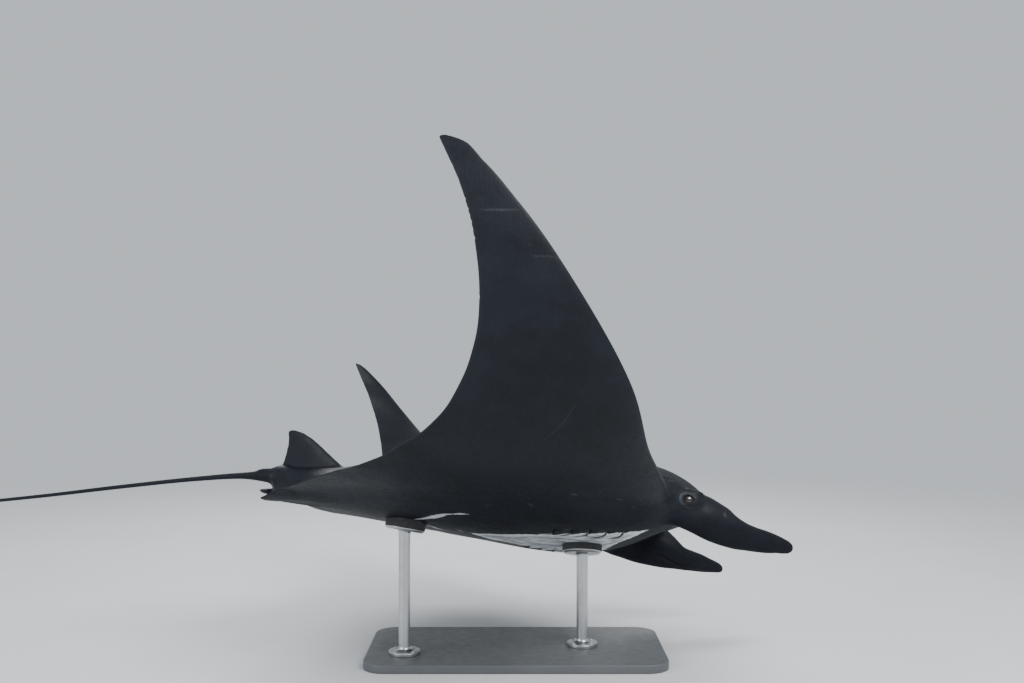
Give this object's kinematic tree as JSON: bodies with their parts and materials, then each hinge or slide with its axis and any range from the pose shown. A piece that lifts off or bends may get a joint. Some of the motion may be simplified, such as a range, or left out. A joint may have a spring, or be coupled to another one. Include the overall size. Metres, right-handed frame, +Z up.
{
  "type": "manta ray",
  "caption": "Life-size still model of a dark giant oceanic manta ray, gliding banked with wings raised and head fins furled, held over a flat base by plain rods.",
  "frame": {"origin": "centre of the underside of the stand's base, on the floor", "axes": "+X the way the animal swims (its heading is about 12 degrees to the left of it), +Y to its left, +Z up"},
  "size_m": [5.0695, 3.3854, 2.5198],
  "materials": {
    "skin": "matt to satin near-black skin with faint grey mottling, scratches and a pale throat patch",
    "eye": "wet gloss, dark",
    "stand_coat": "satin powder coat, dark grey",
    "stand_steel": "turned and brushed",
    "stand_pad": "matt black"
  },
  "bodies": {
    "root": {"head": "skin", "trunk": "skin", "wing_left": "skin", "wing_right": "skin", "cephalic_fin_left": "skin", "cephalic_fin_right": "skin", "pelvic_fin_left": "skin", "pelvic_fin_right": "skin", "dorsal_fin": "skin", "tail_base": "skin", "tail_middle": "skin", "tail_tip": "skin", "eye_left": "eye", "eye_right": "eye", "stand_base": "stand_coat", "stand_rod_front": "stand_steel", "stand_rod_rear": "stand_steel", "stand_saddle_front": "stand_pad", "stand_saddle_rear": "stand_pad"}
  },
  "joints": []
}
